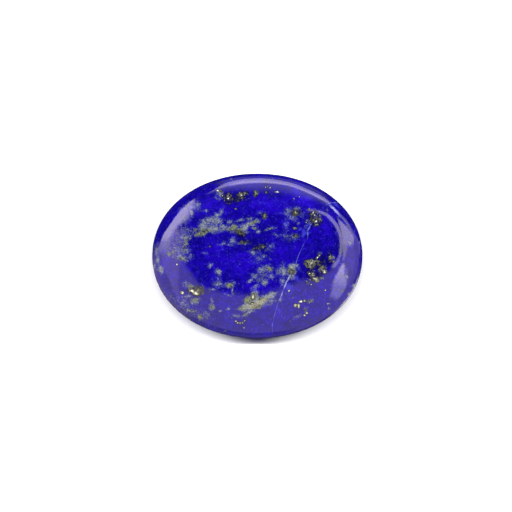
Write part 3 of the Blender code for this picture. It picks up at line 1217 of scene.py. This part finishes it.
@dataclass
class Cabochon:
    """The stone: its surface, its small wear and its markings.

    Attributes:
        oval: Form of the stone.
        dome_cells: Cells along each side of the grid that covers the dome.
        dome_share: Share of the way to the outline that the grid covers.
        finish: The stone's finish.
    """

    oval: Oval
    finish: PolishedLapis
    dome_cells: int = 240
    dome_share: float = 0.93

    def dome_grid(self) -> tuple[np.ndarray, np.ndarray]:
        """Even grid over the dome, as share and angle.

        A square grid is bent to a disc: the larger of a point's two sizes gives its ring, and the ratio of
        the smaller to the larger, times an eighth of a turn, gives its angle within the quarter.

        Returns:
            The share and angle of each grid point, row by row.
        """
        side = np.linspace(-1.0, 1.0, self.dome_cells + 1)
        a, b = (part.ravel() for part in np.meshgrid(side, side))
        wide = np.abs(a) > np.abs(b)
        ring = np.where(wide, a, b)
        safe = np.where(ring == 0.0, 1.0, ring)
        angle = np.where(wide, np.pi / 4 * b / safe, np.pi / 2 - np.pi / 4 * a / safe)
        angle = np.where(ring < 0.0, angle + np.pi, angle)
        return np.abs(ring) * self.dome_share, angle

    def edge_loop(self) -> np.ndarray:
        """Numbers of the grid points on the dome grid's edge, counter-clockwise from above."""
        row = self.dome_cells + 1
        numbers = np.arange(row * row).reshape(row, row)
        return np.concatenate([numbers[0, :-1], numbers[:-1, -1], numbers[-1, :0:-1], numbers[:0:-1, 0]])

    def surface(self) -> tuple[np.ndarray, list[list[int]]]:
        """The whole closed surface.

        The dome's grid comes first. Rings with as many points as its edge follow, out over the shoulder,
        down the girdle and under to the middle of the back, where one last point closes it.

        Returns:
            The vertices and the faces.
        """
        share, angle = self.dome_grid()
        x, y = self.oval.plan(share, angle)
        dome = np.column_stack([x, y, self.oval.dome_height(share)])
        loop = self.edge_loop()
        rows = self.oval.lower_rows(self.dome_share)
        ring_x, ring_y = self.oval.plan(rows[:, :1], angle[loop][None, :])
        ring_z = np.broadcast_to(rows[:, 1:], ring_x.shape)
        rings = np.stack([ring_x, ring_y, ring_z], axis=2).reshape(-1, 3)
        vertices = np.vstack([dome, rings, [[0.0, 0.0, 0.0]]])

        row = self.dome_cells + 1
        corner = (np.arange(self.dome_cells)[:, None] * row + np.arange(self.dome_cells)[None, :]).ravel()
        dome_faces = np.column_stack([corner, corner + 1, corner + row + 1, corner + row])
        numbers = np.vstack([loop, len(dome) + np.arange(len(rings)).reshape(len(rows), -1)])
        ahead = np.roll(numbers, -1, axis=1)
        ring_faces = np.stack([numbers[:-1], numbers[1:], ahead[1:], ahead[:-1]], axis=2).reshape(-1, 4)
        pole = np.full(len(loop), len(vertices) - 1)
        pole_faces = np.column_stack([numbers[-1], pole, ahead[-1]])
        faces = dome_faces.tolist() + ring_faces.tolist() + pole_faces.tolist()
        return vertices, faces

    def worn(self, points: np.ndarray) -> np.ndarray:
        """The surface after hand polishing and a few knocks.

        The dome sinks by smooth noise 3 mm and 1 mm across, of up to ten and two thousandths of a millimetre.
        Each chip draws the surface in by its depth times (1 - q^2)^2, where q is the distance from its
        middle in units of its size.

        Args:
            points: Vertices of the perfect surface.

        Returns:
            The moved vertices.
        """
        moved = points.copy()
        above = smooth_step(points[:, 2], self.oval.girdle_top, self.oval.girdle_top + 0.8 * MM)
        broad = LatticeNoise(3).at(points, 3.0 * MM) - 1.0
        small = LatticeNoise(4).at(points, 1.0 * MM) - 1.0
        moved[:, 2] += (0.006 * broad + 0.0015 * small) * MM * above
        for chip in RIM_CHIPS:
            from_chip = points - np.array([chip.x, chip.y, chip.z]) * MM
            flat = np.hypot(from_chip[:, 0], from_chip[:, 1]) / (chip.reach * MM)
            q = np.sqrt(flat**2 + (from_chip[:, 2] / (chip.tall * MM)) ** 2)
            inward = -np.array([chip.x, chip.y]) / np.hypot(chip.x, chip.y)
            pull = chip.depth * MM * np.clip(1.0 - q**2, 0.0, 1.0) ** 2
            moved[:, :2] += pull[:, None] * inward
        return moved

    def build(self) -> bpy.types.Object:
        """Makes the stone and puts it in the CAD node's place.

        Returns:
            The stone.
        """
        vertices, faces = self.surface()
        stone = mesh_object("lapis_stone", self.worn(vertices), faces, self.finish.material())
        for mineral, values in MineralMap(self.oval).fields(vertices).items():
            store_attribute(stone.data, mineral.value, values)
        offset, half_width = HealedCrack().offset(vertices)
        store_attribute(stone.data, "crack_offset", offset)
        above = smooth_step(vertices[:, 2], self.oval.girdle_top, self.oval.girdle_top + 0.3 * MM)
        store_attribute(stone.data, "crack_half_width", half_width * above + 1e-7)
        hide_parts(CAD_NODE)
        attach(stone, BODY)
        return stone


@dataclass(frozen=True)
class Window:
    """A lit part of the tent around the stone.

    Attributes:
        glow: Its brightness.
        tint: Its colour.
        fades: Degrees over which it brightens from its upper edge, dims to its lower edge, and dims to its
            first and last ends.
        edges: Its outline as (azimuth, upper edge, lower edge) in degrees. Azimuth runs from +X towards +Y,
            and the edges are angles down from straight overhead.
    """

    glow: float
    tint: str
    fades: tuple[float, float, float, float]
    edges: tuple[tuple[float, float, float], ...]

    def light(self, azimuth: np.ndarray, down: np.ndarray) -> np.ndarray:
        """Its light towards each direction: the glow times the share that each edge lets through.

        Args:
            azimuth: Directions' azimuths in degrees.
            down: Directions' angles from overhead in degrees.

        Returns:
            One row of red, green and blue for each direction.
        """
        stops, upper, lower = np.array(self.edges).T
        upper_fade, lower_fade, first_fade, last_fade = self.fades
        turned = stops[0] + (azimuth - stops[0]) % 360
        inside = smooth_step(turned, stops[0], stops[0] + first_fade)
        inside *= smooth_step(turned, stops[-1], stops[-1] - last_fade)
        inside *= smooth_step(down - np.interp(turned, stops, upper), 0.0, upper_fade)
        inside *= smooth_step(down - np.interp(turned, stops, lower), 0.0, -lower_fade)
        return self.glow * inside[:, None] * np.array(hex_to_linear(self.tint)[:3])


SOFT_BOX = "#FFF2F4"
WARM_WALL = "#FFE6E0"

TENT_WINDOWS: tuple[Window, ...] = (
    # The long soft box behind the stone, and its brighter inner edge
    Window(
        5.2,
        SOFT_BOX,
        (8, 3, 4, 5),
        (
            (47, 63, 79),
            (58, 54, 79),
            (65, 54, 77),
            (76, 58, 83),
            (90, 54, 86),
            (102, 53, 81),
            (112, 52, 60),
            (119, 50, 55),
        ),
    ),
    Window(
        8.4,
        SOFT_BOX,
        (8, 16, 8, 14),
        (
            (45, 63, 79),
            (58, 54, 78),
            (65, 54, 76),
            (76, 57, 80),
            (90, 54, 82),
            (102, 53, 79),
            (112, 52, 62),
        ),
    ),
    # The veil of light over it
    Window(
        1.6,
        SOFT_BOX,
        (22, 3, 5, 5),
        (
            (46, 44, 79),
            (55, 42, 79),
            (62, 33, 77),
            (76, 32, 84),
            (90, 30, 86),
            (103, 36, 81),
            (112, 42, 60),
            (118, 48, 55),
        ),
    ),
    # The dim wall under it
    Window(0.8, SOFT_BOX, (6, 26, 10, 8), ((50, 70, 116), (112, 70, 116))),
    # The dim ceiling at the back
    Window(0.08, WARM_WALL, (14, 10, 20, 20), ((20, 14, 60), (150, 14, 60))),
    # The tall box on the left
    Window(
        8.3,
        SOFT_BOX,
        (9, 2, 4, 14),
        (
            (123, 54, 62),
            (127, 44, 63),
            (132, 36, 61),
            (140, 30, 58),
            (146, 32, 57),
            (149, 34, 56),
            (156, 34, 60),
            (165, 37, 66),
            (176, 44, 73),
        ),
    ),
    Window(4.1, SOFT_BOX, (12, 2, 12, 14), ((152, 32, 57), (165, 30, 66), (176, 30, 74), (186, 34, 74))),
    # The pale corner between that box and the wall
    Window(
        2.3,
        WARM_WALL,
        (8, 8, 8, 12),
        (
            (-212, 25, 60),
            (-205, 24, 62),
            (-192, 22, 66),
            (-175, 20, 62),
            (-160, 24, 54),
            (-145, 36, 58),
            (-130, 50, 64),
        ),
    ),
    # The box on the right, with a strip of light beyond it
    Window(
        6.0,
        SOFT_BOX,
        (3, 7, 1.5, 2),
        (
            (10, 32.3, 67),
            (14, 34.2, 73),
            (17, 36.2, 76),
            (22, 38, 68),
            (27.5, 40.6, 61),
            (32, 44, 56),
            (37, 48.5, 52),
            (40, 52, 53),
        ),
    ),
    Window(
        3.0,
        SOFT_BOX,
        (4, 12, 16, 6),
        (
            (5, 84, 112),
            (9, 79, 104),
            (13.5, 68, 92),
            (21, 61, 82),
            (27, 61, 84),
            (31, 60, 82),
            (37, 57, 76),
            (43, 57, 72),
        ),
    ),
    Window(13.0, "#F2F6FF", (5, 6, 9, 4), ((34, 55, 68), (37, 55, 69), (43.5, 56, 70.5), (49, 56, 69.5))),
    Window(4.6, SOFT_BOX, (2, 6, 3, 2), ((-7, 33, 37), (-1, 33, 41), (6, 33, 45), (13, 34, 49))),
    Window(1.4, WARM_WALL, (6, 12, 8, 8), ((-4, 60, 112), (8, 60, 122), (20, 62, 92), (30, 60, 74))),
    # The screen's bright corner in front of it
    Window(
        8.8,
        SOFT_BOX,
        (2.5, 5, 34, 3),
        (
            (-46, 41, 70),
            (-39, 36.5, 70),
            (-28, 29.8, 62),
            (-22, 29.2, 52),
            (-18.7, 29.5, 45),
            (-15, 30, 42.5),
            (-10, 31.6, 41),
            (-6, 33, 40),
        ),
    ),
    Window(4.0, SOFT_BOX, (3, 18, 8, 3), ((-46, 42, 72), (-39, 36.5, 76), (-28, 29.8, 72), (-20, 29.5, 62), (-9, 32, 54))),
    Window(2.1, WARM_WALL, (6, 14, 10, 5), ((-24, 33, 62), (-8, 33, 70), (6, 33, 70), (13, 36, 66))),
    Window(1.9, WARM_WALL, (8, 20, 16, 6), ((-40, 36, 80), (-20, 34, 84), (10, 42, 84))),
    # The screen's bright edge
    Window(
        4.9,
        SOFT_BOX,
        (1.2, 1.2, 3, 3),
        (
            (-14, 23.5, 27.5),
            (-8, 25, 30),
            (-2, 28.5, 32),
            (4, 29.8, 33.6),
            (12, 31.6, 36),
            (22, 34.4, 40),
            (32, 35.2, 42),
            (42, 34.9, 41.4),
            (47, 33, 38.2),
            (51, 30.4, 34.6),
            (57, 25.8, 29.3),
        ),
    ),
    # The white wall in front, from low on the right round to low on the left
    Window(
        1.35,
        WARM_WALL,
        (4, 12, 1, 1),
        (
            (-192, 36, 98),
            (-184, 27, 98),
            (-175, 21, 98),
            (-158, 19, 98),
            (-143, 18.5, 98),
            (-132, 17, 96),
            (-110, 14, 90),
            (-82, 12, 90),
            (-57, 11.5, 96),
            (-43, 12, 98),
            (-23, 19, 98),
            (-15, 23, 98),
            (0, 33, 98),
            (13, 44, 98),
        ),
    ),
    # The pale table in front, to the left and to the right, and its bright edge on the right
    Window(1.2, WARM_WALL, (8, 70, 16, 20), ((-190, 82, 170), (-112, 82, 170))),
    Window(1.15, WARM_WALL, (8, 36, 14, 12), ((-84, 82, 136), (-18, 82, 136))),
    Window(0.5, WARM_WALL, (8, 70, 14, 22), ((-180, 82, 170), (6, 82, 170))),
    Window(2.8, SOFT_BOX, (18, 16, 24, 9), ((-58, 116, 166), (-36, 112, 160), (-13, 112, 152))),
)


@dataclass(frozen=True)
class LightTent:
    """A ball of fabric round the stone that only the polish sees. What its windows leave is nearly dark.

    Attributes:
        radius: Radius of the ball.
        dusk: Brightness of the unlit fabric.
        table: Brightness below the horizon, where the polish would see the table.
        azimuth_step: Spacing of its grid round the horizon, in degrees.
        down_step: Spacing from overhead downwards, in degrees.
    """

    radius: float = 1.0
    dusk: float = 0.03
    table: float = 0.04
    azimuth_step: float = 0.75
    down_step: float = 0.5

    def build(self) -> bpy.types.Object:
        """Makes the tent: a grid on a sphere, x, y and z from azimuth and angle down, facing in.

        Returns:
            The tent.
        """
        azimuth = np.arange(0.0, 360.0, self.azimuth_step)
        down = np.arange(2.0, 178.1, self.down_step)
        azimuths, downs = (part.ravel() for part in np.meshgrid(azimuth, down))
        a, d = np.radians(azimuths), np.radians(downs)
        vertices = self.radius * np.column_stack([np.sin(d) * np.cos(a), np.sin(d) * np.sin(a), np.cos(d)])
        numbers = np.arange(len(vertices)).reshape(len(down), len(azimuth))
        ahead = np.roll(numbers, -1, axis=1)
        faces = np.stack([numbers[:-1], ahead[:-1], ahead[1:], numbers[1:]], axis=2).reshape(-1, 4)
        tent = mesh_object("light_tent", vertices, faces.tolist(), self.fabric())
        store_attribute(tent.data, "glow", self.glow(azimuths, downs))
        tent.visible_camera = False
        tent.visible_diffuse = False
        tent.visible_shadow = False
        return tent

    def glow(self, azimuth: np.ndarray, down: np.ndarray) -> np.ndarray:
        """Light of the fabric: the brightest window's there, or else dusk, and the table's from the horizon down.

        Args:
            azimuth: Directions' azimuths in degrees.
            down: Directions' angles from overhead in degrees.

        Returns:
            One row of red, green and blue for each direction.
        """
        dim = np.where(down < 90.0, self.dusk, self.table)
        light = np.repeat(dim[:, None], 3, axis=1)
        for window in TENT_WINDOWS:
            light = np.maximum(light, window.light(azimuth, down))
        return light

    def fabric(self) -> bpy.types.Material:
        """Lit white fabric, as bright as the mesh says.

        Returns:
            The material.
        """
        material = bpy.data.materials.new("lit_tent_fabric")
        material.use_nodes = True
        tree = material.node_tree
        tree.nodes.clear()
        glow = add_node(tree, "Attribute", {"attribute_name": "glow"}).outputs["Color"]
        light = add_node(tree, "Emission", inputs={"Color": glow, "Strength": 1.0})
        add_node(tree, "OutputMaterial", inputs={"Surface": light.outputs["Emission"]})
        material.cycles.emission_sampling = "NONE"
        return material


@dataclass(frozen=True)
class Studio:
    """Floor, lamps, background and camera.

    Attributes:
        floor_size: Side of the floor.
        floor_drop: How far the floor lies below the stone, so that they don't share a plane.
        lamp_lean: Angle from overhead of the stone's lamp, towards +Y, in degrees.
        strip_lean: The same of the floor's lamp.
        lamp_angle: Angle that the stone's lamp spans, in degrees.
        lamp_light: Light that it lays on the stone: 1 makes a white sheet white.
        strip_light: Light that the strip lamp lays on the floor, on the same scale.
        strip_distance: Distance of the strip lamp.
        strip_long: Length of the strip lamp along X, as a share of its distance.
        strip_short: Its width, as a share of its distance.
        fill_light: Brightness of the background as diffuse surfaces see it.
        lens: The camera's focal length, in millimetres on a 36 mm sensor.
        view_width: Width of the picture where the stone is widest.
        aim: Place under the picture's centre.
    """

    floor_size: float = 3.0
    floor_drop: float = 0.02 * MM
    lamp_lean: float = 9.0
    strip_lean: float = 13.0
    lamp_angle: float = 4.0
    lamp_light: float = 1.28
    strip_light: float = 3.2
    strip_distance: float = 20.0
    strip_long: float = 2.4
    strip_short: float = 0.07
    fill_light: float = 0.02
    lens: float = 300.0
    view_width: float = 43.85 * MM
    aim: tuple[float, float] = (-0.114 * MM, -0.011 * MM)

    def build(self, oval: Oval, stone: bpy.types.Object) -> None:
        """Builds the set.

        Args:
            oval: Form of the stone, whose widest height the camera's distance is measured from.
            stone: The stone.
        """
        floor = self.floor()
        self.stone_lamp(stone)
        self.strip_lamp(floor)
        self.background()
        self.camera(oval.girdle_top)
        bpy.context.scene.view_settings.view_transform = "Standard"

    def floor(self) -> bpy.types.Object:
        """A sheet of matt white paper, which the stone's polish sees only as the tent's table.

        Returns:
            The sheet.
        """
        material = bpy.data.materials.new("matt_white_paper")
        material.use_nodes = True
        shader = material.node_tree.nodes["Principled BSDF"]
        shader.inputs["Base Color"].default_value = (0.92, 0.92, 0.92, 1.0)
        shader.inputs["Roughness"].default_value = 0.9
        shader.inputs["Specular IOR Level"].default_value = 0.1
        half = self.floor_size / 2
        corners = np.array([[-half, -half], [half, -half], [half, half], [-half, half]])
        vertices = np.column_stack([corners, np.full(4, -self.floor_drop)])
        sheet = mesh_object("paper_floor", vertices, [[0, 1, 2, 3]], material)
        sheet.visible_glossy = False
        return sheet

    def hung_lamp(self, name: str, kind: str, lean: float, receiver: bpy.types.Object) -> bpy.types.Object:
        """Hangs a lamp overhead that lights one object and stays out of the polish.

        Args:
            name: Name of the lamp.
            kind: Blender's type of light.
            lean: Angle from overhead towards +Y, in degrees.
            receiver: What it lights.

        Returns:
            The lamp.
        """
        turn = np.radians(lean)
        lamp = bpy.data.objects.new(name, bpy.data.lights.new(name, kind))
        lamp.location = (0.0, self.strip_distance * np.sin(turn), self.strip_distance * np.cos(turn))
        lamp.rotation_euler = (-turn, 0.0, 0.0)
        lamp.visible_glossy = False
        lit = bpy.data.collections.new("lit_by_" + name)
        lit.objects.link(receiver)
        lamp.light_linking.receiver_collection = lit
        bpy.context.scene.collection.objects.link(lamp)
        return lamp

    def stone_lamp(self, stone: bpy.types.Object) -> None:
        """The stone's lamp. Its strength is pi times its light over the cosine of its lean."""
        lamp = self.hung_lamp("stone_lamp", "SUN", self.lamp_lean, stone)
        lamp.data.angle = np.radians(self.lamp_angle)
        lamp.data.energy = np.pi * self.lamp_light / np.cos(np.radians(self.lamp_lean))

    def strip_lamp(self, floor: bpy.types.Object) -> None:
        """The floor's lamp, long from left to right, so that the stone's shadow is crisp only in front.

        Its power is pi squared times its light and the square of its distance, over the cosine of its lean.

        Args:
            floor: The floor.
        """
        lamp = self.hung_lamp("strip_lamp", "AREA", self.strip_lean, floor)
        lamp.data.shape = "RECTANGLE"
        lamp.data.size = self.strip_long * self.strip_distance
        lamp.data.size_y = self.strip_short * self.strip_distance
        power = np.pi**2 * self.strip_light * self.strip_distance**2
        lamp.data.energy = power / np.cos(np.radians(self.strip_lean))

    def background(self) -> None:
        """White to the camera, a soft fill to matt surfaces, and unseen by the polish, which sees the tent."""
        world = bpy.data.worlds.new("white_background")
        bpy.context.scene.world = world
        world.use_nodes = True
        tree = world.node_tree
        tree.nodes.clear()
        seen = add_node(tree, "LightPath").outputs["Is Camera Ray"]
        strength = add_node(tree, "Mix", {"data_type": "FLOAT"}, {0: seen, 2: self.fill_light, 3: 1.0}).outputs[0]
        light = add_node(tree, "Background", inputs={"Color": (1.0, 1.0, 1.0, 1.0), "Strength": strength})
        add_node(tree, "OutputWorld", inputs={"Surface": light.outputs["Background"]})
        world.cycles_visibility.glossy = False

    def camera(self, height: float) -> None:
        """A long lens straight above the stone.

        Args:
            height: Height at which the picture is as wide as view_width.
        """
        data = bpy.data.cameras.new("camera")
        data.lens = self.lens
        data.sensor_width = 36.0
        distance = self.view_width * self.lens / data.sensor_width
        data.clip_start = 0.01
        camera = bpy.data.objects.new("camera", data)
        camera.location = (*self.aim, height + distance)
        bpy.context.scene.collection.objects.link(camera)
        bpy.context.scene.camera = camera


def main() -> None:
    """Builds the stone, the tent and the studio in turn."""
    logging.basicConfig(level=logging.INFO, format="%(name)s: %(message)s")
    low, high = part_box(CAD_NODE)
    oval = Oval(length=high[0] - low[0], width=high[1] - low[1], thickness=high[2] - low[2])
    stone = Cabochon(oval, PolishedLapis()).build()
    log.info("%s has %d faces and replaces %s", stone.name, len(stone.data.polygons), CAD_NODE)
    tent = LightTent().build()
    log.info("%s has %d windows", tent.name, len(TENT_WINDOWS))
    Studio().build(oval, stone)
    log.info("floor, lamps, background and camera are in place")


if __name__ == "__main__":
    main()
